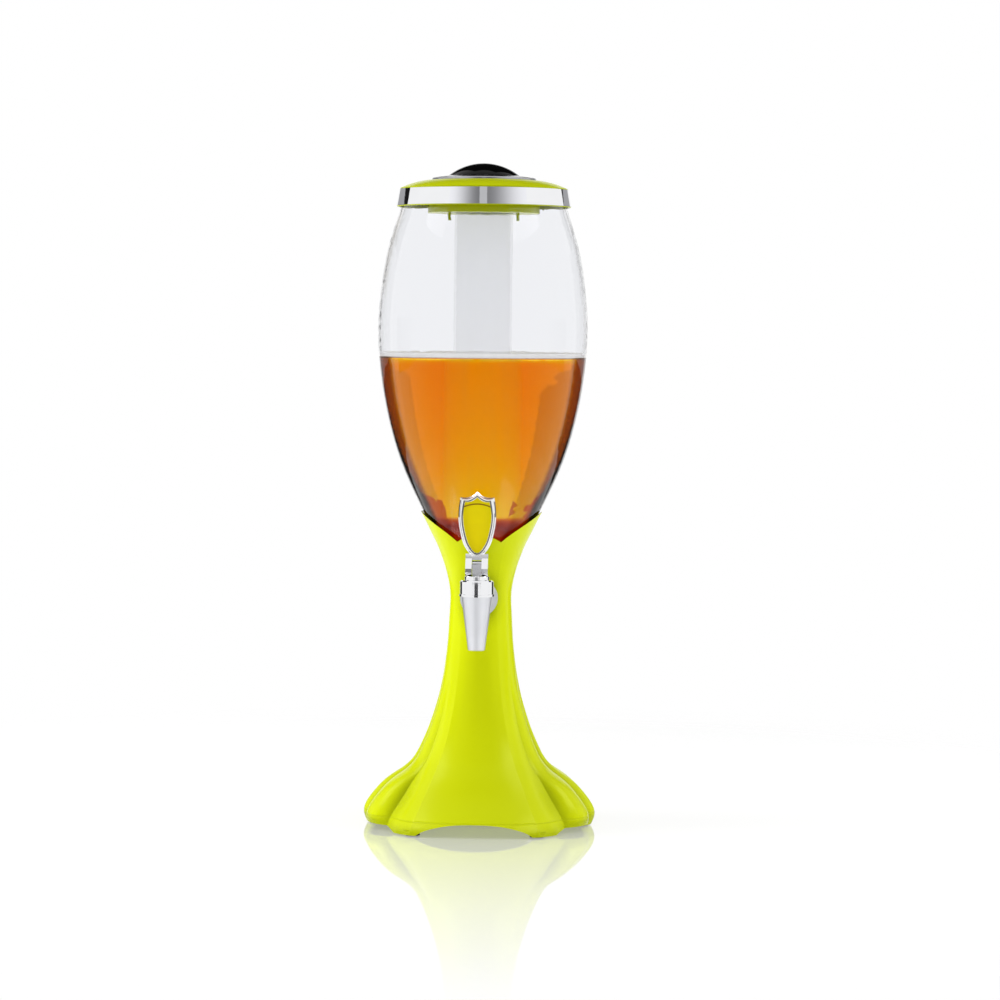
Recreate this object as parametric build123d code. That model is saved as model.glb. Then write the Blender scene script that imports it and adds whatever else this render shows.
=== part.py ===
from build123d import *
import math
import os

# Beer tower: a clear tank on a moulded flared stand, an ice tube hanging from the lid,
# and a lever tap screwed through the neck of the stand into the stem of the tank.
# Millimetres, +Z up, origin on the table below the tank's axis, the tap faces -Y.

# ---------------------------------------------------------------- stand
stand_wall = 2.6
stand_floor_gap = 0.8          # the shell hangs this far above the table, the pads carry it
claw_azimuths = (36.5, 90.0, 143.5)    # degrees from the front, the same on both sides
ridge_azimuth = 34.0                   # fine edge on each side of the front and back panels
groove_azimuths = (56.25, 82.5)        # sharp creases on each side of the lobes
lobe_blend = (50.0, 66.0)              # azimuths between which a front claw gives way to a side lobe
panel_flatness = 0.9                   # how far the panels are drawn in, as a share of the crease depth
stretch_shares = (0.0, 0.25, 0.5, 0.75, 1.0)   # where the points lie between two edges of the skirt

# height, radius of the front and back, radius of the side lobes, depth of the creases
skirt_sections = (
    (0.0, 87.7, 86.6, 5.0),
    (7.7, 84.6, 89.6, 5.8),
    (15.5, 79.0, 87.9, 6.6),
    (24.7, 71.7, 81.5, 6.8),
    (32.5, 65.7, 74.3, 6.0),
    (38.6, 61.3, 66.5, 5.0),
    (44.0, 57.2, 58.4, 4.2),
    (51.0, 51.9, 51.3, 3.4),
    (60.3, 46.3, 46.0, 2.8),
    (73.4, 40.1, 40.3, 2.1),
    (86.0, 35.8, 35.9, 1.5),
    (99.0, 32.1, 32.1, 0.9),
    (113.0, 29.1, 29.1, 0.4),
)
# radius and height up the outside of the neck and the cup
neck_profile = (
    (26.9, 127.5),
    (25.2, 143.7),
    (24.2, 162.3),
    (23.8, 180.8),
    (25.3, 190.1),
    (27.7, 199.4),
    (30.8, 208.6),
    (34.6, 217.9),
    (39.3, 227.2),
    (41.4, 231.6),
    (43.6, 236.0),
    (45.6, 240.0),
    (47.2, 243.0),
)
# crown rim seen from the front: half width and height, from the middle bump outwards
crown_bump_height = 226.4
crown_valley = (16.8, 220.6)
crown_slope = (26.8, 228.4)
crown_shoulder = (37.1, 235.3)
crown_peak = (46.2, 242.2)
# arch of the hem under the front and back panels: half width and height
front_arch = ((0.0, 10.0), (21.4, 8.7), (31.4, 6.6), (40.0, 3.6), (45.5, 0.0))
side_arch = ((11.0, 0.0), (20.0, 3.4), (36.0, 4.4), (52.0, 3.2), (62.0, 0.0))
hollow_top = 199.4             # the inside of the neck ends at this section, below the bowl
neck_rib_count = 6
neck_rib_thickness = 2.0
neck_rib_bottom = 154.0
neck_rib_top = 185.0
neck_rib_reach = 22.6          # the ribs' outer edges run into the wall
pad_ring_radius = 79.2
pad_radius = 5.5
pad_height = 1.6
pad_peg_radius = 2.0
pad_seat_radius = 7.9
pad_seat_top = 4.4

# ---------------------------------------------------------------- tank
tank_wall = 2.2
# radius and height down the outside of the bowl
tank_profile = (
    (62.4, 480.5),
    (63.9, 475.5),
    (71.6, 451.3),
    (78.5, 414.2),
    (80.7, 381.8),
    (78.5, 349.3),
    (71.9, 312.3),
    (60.3, 275.2),
    (43.9, 240.4),
    (30.9, 218.0),
    (22.2, 207.0),
    (18.0, 198.0),
)
tank_rim_top = 485.5
stem_radius = 18.0
stem_bottom = 158.0
cup_gap = 0.1                  # the bowl sits in the cup with this much room
boss_radius = 9.8
boss_face = 18.6               # distance of the boss's front face from the tank's axis
boss_back = 11.5
stem_gap = 0.3

# ---------------------------------------------------------------- lid and ice tube
cover_hole_radius = 30.0
cover_seat_height = 496.9      # flat ring that the cap sits on
cover_edge = (64.3, 490.5)
cover_thickness = 2.3
skirt_top = (64.25, 489.6)
skirt_bottom = (66.45, 476.9)
skirt_wall = 1.5
band_thickness = 0.85
lip_bottom = 476.2
gasket_height = 2.0
collar_radius = 43.0
collar_bottom = 471.3
collar_wall = 1.8
collar_top = 494.4
peg_offset = 26.3
peg_radius = 1.15
peg_length = 5.4
tube_radius = 22.4
tube_wall = 1.8
tube_bottom = 233.0
tube_flange_radius = 28.5
tube_flange_bottom = 486.0
tube_flange_top = 488.0
tube_fit = 0.3
disc_radius = 40.0
disc_edge_height = 1.5
knob_radius = 27.4
knob_base = 500.3
knob_top = 510.0
plug_radius = 19.9
plug_bottom = 477.0
plug_wall = 2.0
cap_ring_height = 481.0

# ---------------------------------------------------------------- tap
tap_reach = 60.0               # distance of the tap's own axis from the tank's axis
tap_shank_height = 177.6
flange_radius = 14.4
flange_thickness = 2.6
pad_face = 25.8                # front face of the round pad moulded on the neck
pad_face_radius = 13.6
spot_face = 20.4               # depth of the flat seat inside the neck
washer_thickness = 1.0
shank_radius = 8.2
thread_radius = 6.9
shank_bore_radius = 4.0
shank_hole_radius = 7.4
insert_radius = 8.6
barrel_radius = 12.7
bead_radius = 13.3
bead_low = 181.7
bead_high = 183.4
barrel_top = 194.0
spigot_radius = 8.0            # lower end of the casting, inside the spout
spigot_bottom = 167.0
chamber_radius = 6.6
seat_height = 171.0
throat_radius = 4.6
bonnet_thread_radius = 8.5
bonnet_ledge = 186.0
spout_top_radius = 11.6
spout_bottom_radius = 6.4
spout_bottom = 140.6
spout_bore_radius = 5.0
bonnet_top = 197.1
bonnet_step_radius = 9.3
bonnet_roof = 192.6
bonnet_plug_bottom = 187.6
stem_rod_radius = 2.5
plunger_disc_radius = 5.6
plunger_disc_bottom = 173.4
plunger_disc_top = 175.2
plunger_seal_radius = 6.2
spring_wire_radius = 0.5
spring_coil_radius = 4.2
spring_turns = 4.5

# ---------------------------------------------------------------- lever
pin_height = 204.2
pin_radius = 1.5
running_gap = 0.05
ear_inner = 3.7
ear_outer = 8.45
tongue_half_width = 3.5
cam_gap = 0.15                 # room between the cam and the bonnet
cam_rest = pin_height - bonnet_top - cam_gap
plunger_lift = 3.0             # full lift of the plunger
lever_swing = 50.0             # degrees of lever travel for the full lift
cam_rise = plunger_lift / math.radians(lever_swing)
neck_half_depth = 3.4
shield_depth = 5.6
shield_centre = 0.6            # the shield stands this far in front of the pin
frame_width = 3.4
recess_depth = 1.6
plate_gap = 0.08
# half width and height of the shield's outline, from its peak down
shield_peak = 260.6
shield_dip = (6.6, 256.5)
shield_corner = (12.6, 256.6)
shield_widest = (14.2, 241.0)
shield_lower = (12.4, 228.5)
shield_foot = (8.6, 218.0)
shield_base = 211.0


def turned(*outline):
    """Solid of revolution about Z; the outline's edges are drawn as (radius, height)."""
    return revolve(make_face(Plane.XZ * (Curve() + list(outline))), Axis.Z, 360)


def turned_polygon(*points):
    """Solid of revolution about Z from a closed polygon of (radius, height) points."""
    return turned(Polyline(*points, close=True))


def drum(radius, low, high):
    """Upright cylinder on the Z axis between two heights."""
    return Pos(0, 0, (low + high) / 2) * Cylinder(radius, high - low)


def bore_along_y(radius, front, back, height):
    """Cylinder along Y between two y values at a height."""
    turn = Rot(90, 0, 0)
    return Pos(0, (front + back) / 2, height) * turn * Cylinder(radius, abs(back - front))


def front_prism(edges, near, far):
    """Closed outline of edges drawn in (x, z), pushed along Y from near to far."""
    face = make_face(Plane.XZ * (Curve() + edges))
    return Pos(0, far, 0) * extrude(face, far - near, dir=(0, -1, 0))


def folded(azimuth):
    """Azimuth brought into the first quarter: 0 at the front or back, 90 at either side."""
    return abs((azimuth + 90.0) % 180.0 - 90.0)


def dip(angle):
    """Share of the crease depth that the skirt is drawn in by: one arch from each edge to the next."""
    first, second = groove_azimuths
    if angle < ridge_azimuth:
        return panel_flatness * (1 - (angle / ridge_azimuth) ** 2)
    if angle < first:
        middle, reach = ridge_azimuth, first - ridge_azimuth
    elif angle < second:
        middle, reach = (first + second) / 2, (second - first) / 2
    else:
        middle, reach = 90.0, 90.0 - second
    return ((angle - middle) / reach) ** 2


def ease(value, low, high):
    """Smooth step from 0 at low to 1 at high."""
    share = min(max((value - low) / (high - low), 0.0), 1.0)
    return share * share * (3 - 2 * share)


def skirt_radius(azimuth, front, side, depth):
    """Radius of the skirt: its front or its side's, drawn in towards the creases and across the panels."""
    angle = folded(azimuth)
    lobe = ease(angle, *lobe_blend)
    return front * (1 - lobe) + side * lobe - depth * dip(angle)


def corner_azimuths():
    """Azimuths of the ridges and creases, once round from the ridge beside the front panel."""
    quarter = [ridge_azimuth, *groove_azimuths]
    half = quarter + [180 - azimuth for azimuth in reversed(quarter)]
    return half + [180 + azimuth for azimuth in half] + [360 + ridge_azimuth]


def skirt_ring(height, front, side, depth):
    """Closed section of the skirt at one height: a smooth curve from each edge to the next."""
    corners = corner_azimuths()
    curves = []
    for start, end in zip(corners[:-1], corners[1:]):
        points = []
        for share in stretch_shares:
            azimuth = start + (end - start) * share
            radius = skirt_radius(azimuth, front, side, depth)
            turn = math.radians(azimuth - 90.0)
            points.append((radius * math.cos(turn), radius * math.sin(turn), height))
        curves.append(Edge.make_spline(points, parameters=stretch_shares))
    return make_face(Wire(curves))


def stand_sections():
    """Sections of the whole stand, from the hem up the skirt, the neck and the cup."""
    return skirt_sections + tuple((height, radius, radius, 0.0) for radius, height in neck_profile)


def wall_inset(sections, index, column):
    """Level distance from the outside to the inside of the wall, more where it lies flat."""
    low = sections[max(index - 1, 0)]
    high = sections[min(index + 1, len(sections) - 1)]
    slope = (high[column] - low[column]) / (high[0] - low[0])
    return stand_wall * math.sqrt(1 + slope ** 2)


def stand_body():
    """Outer form of the stand, filled."""
    return loft([skirt_ring(*section) for section in stand_sections()])


def stand_hollow():
    """Space inside the skirt and the neck, open below and closed under the tank's bowl."""
    sections = stand_sections()
    rings = []
    for index, (height, front, side, depth) in enumerate(sections):
        if height > hollow_top:
            break
        level = height - 1.0 if index == 0 else height
        inner_front = front - wall_inset(sections, index, 1)
        inner_side = side - wall_inset(sections, index, 2)
        rings.append(skirt_ring(level, inner_front, inner_side, depth))
    return loft(rings)


def tank_form(growth):
    """Tank's outer form, filled and grown by a distance along its surface normal."""
    bowl = grown_profile(growth)
    top = tank_rim_top
    foot = stem_bottom - growth
    stem = bowl[-1]
    return turned(
        Line((0, top), (bowl[0][0], top)),
        Line((bowl[0][0], top), bowl[0]),
        Spline(*bowl),
        Line(stem, (stem[0], foot)),
        Line((stem[0], foot), (0, foot)),
        Line((0, foot), (0, top)),
    )


def grown_profile(growth):
    """Tank profile moved along its own normals; a negative growth moves it inwards."""
    grown = []
    last = len(tank_profile) - 1
    for index, (radius, height) in enumerate(tank_profile):
        before = tank_profile[max(index - 1, 0)]
        after = tank_profile[min(index + 1, last)]
        along_r, along_z = after[0] - before[0], after[1] - before[1]
        if index in (0, last):
            along_r, along_z = 0.0, -1.0
        length = math.hypot(along_r, along_z)
        grown.append((radius - growth * along_z / length, height + growth * along_r / length))
    return grown


def crown_cut():
    """Everything above the crown's rim, as seen from the front."""
    reach, top = 60.0, 260.0
    rim = [crown_valley, crown_slope, crown_shoulder, crown_peak]
    mirrored = [(-x, z) for x, z in reversed(rim)]
    edges = [
        Spline(mirrored[-1], (0, crown_bump_height), crown_valley),
        Spline(*rim),
        Polyline(crown_peak, (reach, crown_peak[1]), (reach, top), (-reach, top)),
        Polyline((-reach, top), (-reach, crown_peak[1]), mirrored[0]),
        Spline(*mirrored),
    ]
    return front_prism(edges, -reach, reach)


def arch_cuts():
    """Raised hems between the claws: one arch front to back, two lower ones side to side."""
    depth, reach = -5.0, 100.0
    left = [(-x, z) for x, z in reversed(front_arch)]
    foot = front_arch[-1]
    edges = [
        Spline(*left, *front_arch[1:]),
        Polyline(foot, (foot[0], depth), (-foot[0], depth), (-foot[0], foot[1])),
    ]
    cuts = [front_prism(edges, -reach, reach)]
    for sign in (1, -1):
        points = [(sign * y, z) for y, z in side_arch]
        low, high = points[0], points[-1]
        edges = [
            Spline(*points),
            Polyline(high, (high[0], depth), (low[0], depth), low),
        ]
        cuts.append(Rot(0, 0, 90) * front_prism(edges, -reach, reach))
    return cuts


def claw_places():
    """Middles of the six foot pads."""
    places = []
    for azimuth in claw_azimuths:
        turn = math.radians(azimuth)
        x, y = pad_ring_radius * math.sin(turn), -pad_ring_radius * math.cos(turn)
        places += [(x, y), (-x, y)]
    return places


def claw_seats():
    """Round shelf inside the toe of each claw, run into its wall, for its foot pad."""
    return [Pos(x, y, 0) * drum(pad_seat_radius, 0.0, pad_seat_top) for x, y in claw_places()]


def pad_sockets():
    """Shallow round recess and peg hole under each claw."""
    sockets = []
    for x, y in claw_places():
        recess = drum(pad_radius + running_gap, -1.0, pad_height)
        hole = drum(pad_peg_radius + running_gap, -1.0, pad_seat_top + 1.0)
        sockets.append(Pos(x, y, 0) * (recess + hole))
    return sockets


def neck_ribs():
    """Upright ribs that centre the tank's stem in the neck."""
    inner = stem_radius + stem_gap
    middle = Pos((inner + neck_rib_reach) / 2, 0, (neck_rib_bottom + neck_rib_top) / 2)
    rib = Box(neck_rib_reach - inner, neck_rib_thickness, neck_rib_top - neck_rib_bottom)
    turns = [360.0 / neck_rib_count * (step + 0.5) - 90.0 for step in range(neck_rib_count)]
    return [Rot(0, 0, turn) * middle * rib for turn in turns]


def stand():
    """Moulded stand: fluted skirt, waist and cup in one shell, open below."""
    shell = stand_body() - stand_hollow()
    tap_pad = bore_along_y(pad_face_radius, -pad_face, -spot_face, tap_shank_height)
    shell = shell + claw_seats() + neck_ribs() + [tap_pad]
    cuts = [
        tank_form(cup_gap),
        bore_along_y(boss_radius + stem_gap, -spot_face, 0.0, tap_shank_height),
        bore_along_y(shank_hole_radius, -pad_face, 0.0, tap_shank_height),
        crown_cut(),
        Pos(0, 0, -5.0) * Cylinder(120.0, 2 * (5.0 + stand_floor_gap)),
    ]
    return shell - cuts - arch_cuts() - pad_sockets()


def foot_pads():
    """Six rubber pads, each a disc with a peg pressed up into its claw."""
    pads = []
    for x, y in claw_places():
        pad = drum(pad_radius, 0.0, pad_height) + drum(pad_peg_radius, 0.0, pad_seat_top)
        pads.append(Pos(x, y, 0) * pad)
    return pads


def tank():
    """Clear tank: blown bowl with a closed stem and a boss for the tap."""
    inside = grown_profile(-tank_wall)
    floor = stem_bottom + tank_wall
    hollow = turned(
        Line((0, tank_rim_top + 1), (inside[0][0], tank_rim_top + 1)),
        Line((inside[0][0], tank_rim_top + 1), inside[0]),
        Spline(*inside),
        Line(inside[-1], (inside[-1][0], floor)),
        Line((inside[-1][0], floor), (0, floor)),
        Line((0, floor), (0, tank_rim_top + 1)),
    )
    shell = tank_form(0.0) - hollow
    boss = bore_along_y(boss_radius, -boss_face, -boss_back, tap_shank_height)
    bush = bore_along_y(insert_radius, -boss_face, -boss_back + 5.0, tap_shank_height)
    return shell + boss - bush


def stem_insert():
    """Brass bush moulded into the tank's boss; the tap screws into it."""
    bush = bore_along_y(insert_radius - running_gap, -boss_face, -boss_back, tap_shank_height)
    return bush - bore_along_y(thread_radius + running_gap, -boss_face, -boss_back, tap_shank_height)


def washer(radius, hole, front, back):
    """Flat round washer standing on edge round the tap's shank."""
    ring = bore_along_y(radius, front, back, tap_shank_height)
    return ring - bore_along_y(hole, front, back, tap_shank_height)


def tap_body():
    """Chromed tap casting: barrel with a bead, valve chamber and threaded shank."""
    barrel = turned_polygon(
        (0, spigot_bottom),
        (spigot_radius, spigot_bottom),
        (spigot_radius, bead_low),
        (bead_radius, bead_low),
        (bead_radius, bead_high),
        (barrel_radius, bead_high),
        (barrel_radius, barrel_top - 1.0),
        (barrel_radius - 1.0, barrel_top),
        (0, barrel_top),
    )
    shoulder = -(pad_face + washer_thickness + flange_thickness)
    shank = bore_along_y(shank_radius, -tap_reach, shoulder, tap_shank_height)
    thread = bore_along_y(thread_radius, shoulder, -boss_back, tap_shank_height)
    tap_axis = Pos(0, -tap_reach, 0)
    body = tap_axis * barrel + shank + thread
    return body - [
        tap_axis * drum(chamber_radius, seat_height, barrel_top),
        tap_axis * drum(bonnet_thread_radius + running_gap, bonnet_ledge, barrel_top),
        tap_axis * drum(throat_radius, spigot_bottom, seat_height),
        bore_along_y(shank_bore_radius, -tap_reach, -boss_back, tap_shank_height),
    ]


def spout():
    """Satin tapered spout pushed up over the casting, notched at the back for the shank."""
    low, tip = spout_bottom, spout_bottom_radius
    cone = turned_polygon(
        (spout_bore_radius, low),
        (tip - 0.5, low),
        (tip, low + 0.5),
        (spout_top_radius, bead_low),
        (spigot_radius + running_gap, bead_low),
        (spigot_radius + running_gap, spigot_bottom - 0.2),
        (spout_bore_radius, spigot_bottom - 0.2),
    )
    cone = Pos(0, -tap_reach, 0) * cone
    notch = bore_along_y(shank_radius + running_gap, -tap_reach, 0.0, tap_shank_height)
    slot_width = 2 * (shank_radius + running_gap)
    slot = Pos(0, -tap_reach / 2, tap_shank_height + 5.0) * Box(slot_width, tap_reach, 10.0)
    return cone - notch - slot


def tap_bonnet():
    """Chromed plug screwed into the barrel; the lever's cam presses on its top."""
    cap = turned_polygon(
        (0, bonnet_plug_bottom),
        (bonnet_thread_radius, bonnet_plug_bottom),
        (bonnet_thread_radius, barrel_top),
        (bonnet_step_radius, barrel_top),
        (bonnet_step_radius, bonnet_top - 0.4),
        (bonnet_step_radius - 0.4, bonnet_top),
        (0, bonnet_top),
    )
    cap -= drum(chamber_radius - 0.6, bonnet_plug_bottom, bonnet_roof)
    cap -= drum(stem_rod_radius + running_gap, bonnet_roof, bonnet_top)
    return Pos(0, -tap_reach, 0) * cap


def bonnet_seal():
    """Rubber ring between the bonnet's plug and the ledge in the barrel."""
    inner, outer = chamber_radius + 0.3, bonnet_thread_radius - 0.1
    low, high = bonnet_ledge + 0.05, bonnet_plug_bottom - 0.05
    return Pos(0, -tap_reach, 0) * turned_polygon((inner, low), (outer, low), (outer, high), (inner, high))


def plunger_stem():
    """Valve rod: disc over the seal, round rod and the flat tongue that carries the pin."""
    rod = drum(stem_rod_radius, seat_height - 1.4, bonnet_top + cam_gap)
    rod += drum(plunger_disc_radius, plunger_disc_bottom, plunger_disc_top)
    rod += drum(stem_rod_radius + 0.9, seat_height - 1.4, seat_height)
    tongue_low, tongue_high = bonnet_top + cam_gap, pin_height + 4.2
    tongue_middle = (tongue_low + tongue_high) / 2
    tongue = Box(2 * tongue_half_width, 7.0, tongue_high - tongue_low)
    rounded = [edge for edge in tongue.edges().filter_by(Axis.X) if edge.center().Z > 0]
    rod += Pos(0, 0, tongue_middle) * fillet(rounded, 3.0)
    cross = Pos(0, 0, pin_height) * Rot(0, 90, 0) * Cylinder(pin_radius + running_gap, 20)
    return Pos(0, -tap_reach, 0) * (rod - cross)


def plunger_seal():
    """Silicone disc that closes the seat."""
    disc = drum(plunger_seal_radius, seat_height, plunger_disc_bottom)
    return Pos(0, -tap_reach, 0) * (disc - drum(stem_rod_radius, seat_height, plunger_disc_bottom))


def return_spring():
    """Compression spring round the rod, between the plunger's disc and the bonnet's roof."""
    low = plunger_disc_top + spring_wire_radius + running_gap
    high = bonnet_roof - spring_wire_radius - running_gap
    path = Helix((high - low) / spring_turns, high - low, spring_coil_radius)
    start = path @ 0
    section = Plane(origin=start, z_dir=path % 0) * RegularPolygon(spring_wire_radius, 6)
    coil = sweep(section, path=path, is_frenet=True)
    return Pos(0, -tap_reach, low) * coil


def cam_outline():
    """Side view of one ear: a flat foot that runs into a cam with a steady rise per degree."""
    points = []
    steps = 6
    for step in range(steps + 1):
        turn = math.radians(lever_swing) * step / steps
        reach = cam_rest + cam_rise * turn
        out = (-math.sin(turn), -math.cos(turn))
        along = (-math.cos(turn), math.sin(turn))
        points.append((reach * out[0] + cam_rise * along[0], reach * out[1] + cam_rise * along[1]))
    heel = (4.6, -cam_rest)
    crown_front, crown_back = (-neck_half_depth - 1.2, 6.4), (neck_half_depth + 1.2, 6.4)
    tip = points[-1]
    return (
        Line(heel, points[0]),
        Spline(*points),
        Line(tip, (tip[0] + 0.6, tip[1] + 2.6)),
        Line((tip[0] + 0.6, tip[1] + 2.6), crown_front),
        Line(crown_front, crown_back),
        Line(crown_back, heel),
    )


def shield_outline(inset):
    """Front view of the shield, drawn in by a distance from its edge."""
    corner = (shield_corner[0] - inset, shield_corner[1] - inset)
    dip_point = (shield_dip[0], shield_dip[1] - inset)
    widest = (shield_widest[0] - inset, shield_widest[1])
    lower = (shield_lower[0] - inset * 1.04, shield_lower[1])
    foot = (shield_foot[0] - inset * 0.95, shield_foot[1] + inset * 0.35)
    peak = (0.0, shield_peak - inset * 1.15)
    side = [corner, widest, lower, foot]
    mirrored = [(-x, z) for x, z in reversed(side)]
    return (
        Spline(peak, dip_point, corner),
        Spline(*side, (0.0, shield_base + inset), *mirrored),
        Spline((-corner[0], corner[1]), (-dip_point[0], dip_point[1]), peak),
    )


def lever():
    """Chromed handle: shield frame, neck and a fork of two cam-footed ears."""
    middle = -tap_reach - shield_centre
    front = middle - shield_depth / 2
    outline = make_face(Plane.XZ * (Curve() + list(shield_outline(0.0))))
    plate = Pos(0, middle + shield_depth / 2, 0) * extrude(outline, shield_depth, dir=(0, -1, 0))
    rim = [edge for edge in plate.edges() if abs(edge.center().Y - front) < 0.01]
    plate = chamfer(rim, 0.9)
    pocket = make_face(Plane.XZ * (Curve() + list(shield_outline(frame_width))))
    plate -= Pos(0, front + recess_depth, 0) * extrude(pocket, recess_depth, dir=(0, -1, 0))
    ear_face = make_face(Plane.YZ * (Curve() + list(cam_outline())))
    ear = extrude(ear_face, ear_outer - ear_inner, dir=(1, 0, 0))
    place = Pos(0, -tap_reach, pin_height)
    fork = place * Pos(ear_inner, 0, 0) * ear + place * Pos(-ear_outer, 0, 0) * ear
    yoke_low, yoke_high = pin_height + 4.9, shield_base + 3.0
    yoke = Box(2 * ear_outer, 2 * neck_half_depth, yoke_high - yoke_low)
    handle = plate + fork + Pos(0, -tap_reach, (yoke_low + yoke_high) / 2) * yoke
    cross = Rot(0, 90, 0) * Cylinder(pin_radius + 0.02, 30)
    return handle - Pos(0, -tap_reach, pin_height) * cross


def badge_plate():
    """Bare coloured plate bedded in the shield's recess."""
    middle = -tap_reach - shield_centre
    front = middle - shield_depth / 2
    face = make_face(Plane.XZ * (Curve() + list(shield_outline(frame_width + plate_gap))))
    return Pos(0, front + recess_depth, 0) * extrude(face, recess_depth - 0.4, dir=(0, -1, 0))


def pivot_pin():
    """Steel pin through the ears and the tongue."""
    pin = Rot(0, 90, 0) * Cylinder(pin_radius, 2 * ear_outer - 0.2)
    return Pos(0, -tap_reach, pin_height) * pin


def lid_cover():
    """Moulded lid: shallow dome with a hole for the cap and a skirt over the tank's rim."""
    seat = cover_seat_height
    hole = cover_hole_radius
    seal_land = tank_rim_top + gasket_height + 0.2
    ring_under = seat - cover_thickness
    return turned(
        Line((hole, seat), (disc_radius, seat)),
        ThreePointArc((disc_radius, seat), (53.5, 494.6), cover_edge),
        Line(cover_edge, skirt_top),
        Line(skirt_top, skirt_bottom),
        Line(skirt_bottom, (skirt_bottom[0] + band_thickness * 0.6, skirt_bottom[1])),
        Line((skirt_bottom[0] + band_thickness * 0.6, skirt_bottom[1]), (skirt_bottom[0], lip_bottom)),
        Line((skirt_bottom[0], lip_bottom), (skirt_bottom[0] - skirt_wall, lip_bottom)),
        Line((skirt_bottom[0] - skirt_wall, lip_bottom), (63.4, seal_land)),
        Line((63.4, seal_land), (59.6, seal_land)),
        ThreePointArc((59.6, seal_land), (54.5, 491.6), (collar_radius + 0.6, ring_under)),
        Line((collar_radius + 0.6, ring_under), (hole, ring_under)),
        Line((hole, ring_under), (hole, seat)),
    )


def lid_band():
    """Chromed band pressed round the skirt of the lid."""
    gap = 0.03
    inner_top = (skirt_top[0] + gap, skirt_top[1])
    inner_low = (skirt_bottom[0] + gap, skirt_bottom[1] + gap)
    outer_top = (inner_top[0] + band_thickness, inner_top[1])
    outer_low = (inner_low[0] + band_thickness, inner_low[1])
    return turned_polygon(inner_top, outer_top, outer_low, inner_low)


def lid_collar():
    """Moulded collar under the lid: it carries the ice tube and has two locating pegs."""
    sleeve = tube_radius + tube_fit
    floor = collar_bottom + 2.0
    ring = turned_polygon(
        (sleeve, collar_bottom),
        (collar_radius, collar_bottom),
        (collar_radius, collar_top),
        (collar_radius - collar_wall, collar_top),
        (collar_radius - collar_wall, floor),
        (sleeve + 2.0, floor),
        (sleeve + 2.0, tube_flange_bottom - 0.05),
        (sleeve, tube_flange_bottom - 0.05),
    )
    for side in (1, -1):
        ring += Pos(side * peg_offset, 0, 0) * drum(peg_radius, collar_bottom - peg_length, floor)
    return ring


def lid_gasket():
    """Silicone ring between the tank's rim and the lid."""
    low = tank_rim_top + 0.1
    return turned_polygon((60.4, low), (62.6, low), (62.6, low + gasket_height), (60.4, low + gasket_height))


def ice_tube():
    """Frosted tube for ice, closed below, hanging by its flange."""
    outer = turned(
        Line((0, tube_bottom), (tube_radius - 4.0, tube_bottom)),
        RadiusArc((tube_radius - 4.0, tube_bottom), (tube_radius, tube_bottom + 4.0), -4.0),
        Line((tube_radius, tube_bottom + 4.0), (tube_radius, tube_flange_bottom)),
        Line((tube_radius, tube_flange_bottom), (tube_flange_radius, tube_flange_bottom)),
        Line((tube_flange_radius, tube_flange_bottom), (tube_flange_radius, tube_flange_top)),
        Line((tube_flange_radius, tube_flange_top), (0, tube_flange_top)),
        Line((0, tube_flange_top), (0, tube_bottom)),
    )
    return outer - drum(tube_radius - tube_wall, tube_bottom + tube_wall, tube_flange_top)


def cap_disc():
    """Dark metal-finished disc with a plug that closes the ice tube."""
    under = cover_seat_height + 0.1
    ring_top = cap_ring_height + 2.2
    groove = plug_radius - 1.2
    disc = turned_polygon(
        (knob_radius + 0.4, knob_base),
        (disc_radius - 0.4, under + disc_edge_height),
        (disc_radius, under + disc_edge_height - 0.5),
        (disc_radius, under),
        (plug_radius, under),
        (plug_radius, ring_top),
        (groove, ring_top),
        (groove, cap_ring_height),
        (plug_radius, cap_ring_height),
        (plug_radius, plug_bottom),
        (plug_radius - plug_wall, plug_bottom),
        (plug_radius - plug_wall, under + 1.6),
        (6.0, under + 1.6),
        (6.0, knob_base),
    )
    return disc


def cap_knob():
    """Black domed knob, held by a boss through the middle of the disc."""
    base = knob_base + 0.02
    rise = knob_top - base
    sphere = (knob_radius ** 2 + rise ** 2) / (2 * rise)
    dome = Pos(0, 0, knob_top - sphere) * Sphere(sphere) & drum(knob_radius + 1.0, base, knob_top + 1.0)
    return dome + drum(5.95, cover_seat_height + 1.7, base + 1.0)


def cap_seal():
    """Silicone ring in the plug's groove."""
    low = cap_ring_height + 0.1
    inner = plug_radius - 1.15
    outer = tube_radius - tube_wall - 0.05
    return turned_polygon((inner, low), (outer, low + 0.4), (outer, low + 1.6), (inner, low + 2.0))


def write(name, shape):
    """One STEP file per node."""
    if isinstance(shape, list):
        whole = Compound(children=[item.solid() for item in shape])
    else:
        whole = shape.solid()
    export_step(whole, f"parts/{name}.step")


os.makedirs("parts", exist_ok=True)
washer_front = -(pad_face + washer_thickness)
flange_front = washer_front - flange_thickness
write("stand", stand())
write("foot_pads", foot_pads())
write("tank", tank())
write("stem_insert", stem_insert())
write("neck_washer", washer(11.5, thread_radius + 0.2, washer_front, -pad_face))
write("stem_washer", washer(boss_radius - 0.2, thread_radius + 0.2, -spot_face, -boss_face))
write("tap_flange", washer(flange_radius, thread_radius + 0.2, flange_front, washer_front))
write("tap_body", tap_body())
write("spout", spout())
write("tap_bonnet", tap_bonnet())
write("bonnet_seal", bonnet_seal())
write("plunger_stem", plunger_stem())
write("plunger_seal", plunger_seal())
write("return_spring", return_spring())
write("lever", lever())
write("badge_plate", badge_plate())
write("pivot_pin", pivot_pin())
write("lid_cover", lid_cover())
write("lid_band", lid_band())
write("lid_collar", lid_collar())
write("lid_gasket", lid_gasket())
write("ice_tube", ice_tube())
write("cap_disc", cap_disc())
write("cap_knob", cap_knob())
write("cap_seal", cap_seal())
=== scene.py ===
import math

import bmesh
import bpy
import numpy as np
from mathutils import Matrix


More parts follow.
